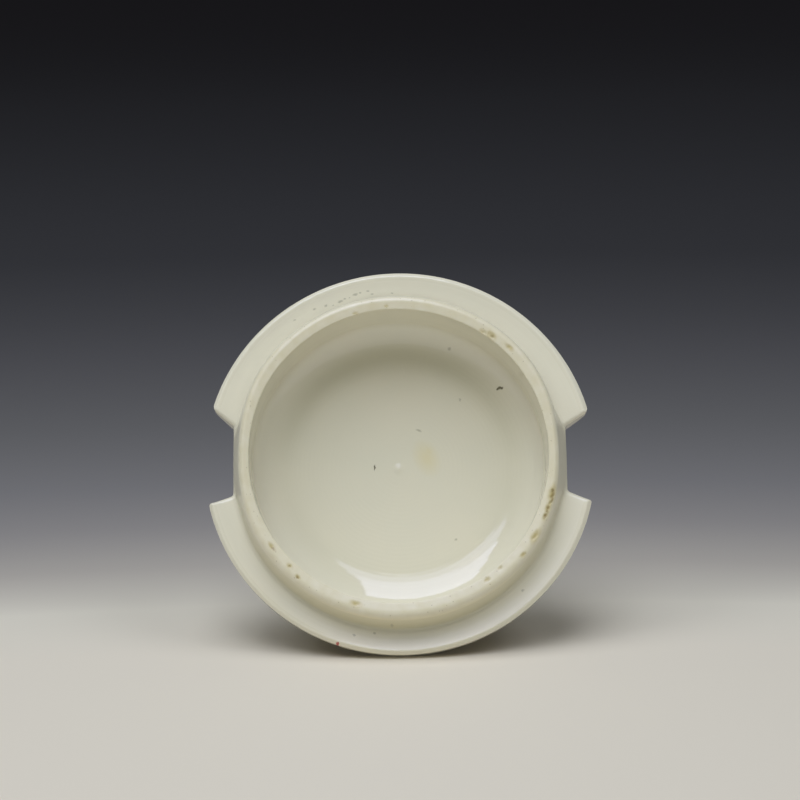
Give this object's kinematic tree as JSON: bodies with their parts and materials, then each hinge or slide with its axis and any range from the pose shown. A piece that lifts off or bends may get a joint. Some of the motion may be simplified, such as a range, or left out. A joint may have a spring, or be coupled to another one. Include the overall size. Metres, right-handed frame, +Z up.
{
  "type": "butter tub cover",
  "caption": "Round domed porcelain cover of a butter tub, with a seating flange notched for the tub's lugs, a drafted locating collar and a turned knob, leaning back on its edge.",
  "frame": {"origin": "lowest point of the rim, where a plate stand carries the leaning cover", "axes": "+X across the cover through both notches, +Z up; the open inside faces -Y and the cover leans back 27 degrees"},
  "size_m": [0.1162, 0.0623, 0.1077],
  "materials": {
    "glazed_porcelain": "clear glossy glaze over creamy porcelain, wiped bare on the collar's lip"
  },
  "bodies": {
    "root": {"cover": "glazed_porcelain", "locating_collar": "glazed_porcelain", "knob": "glazed_porcelain"}
  },
  "joints": []
}
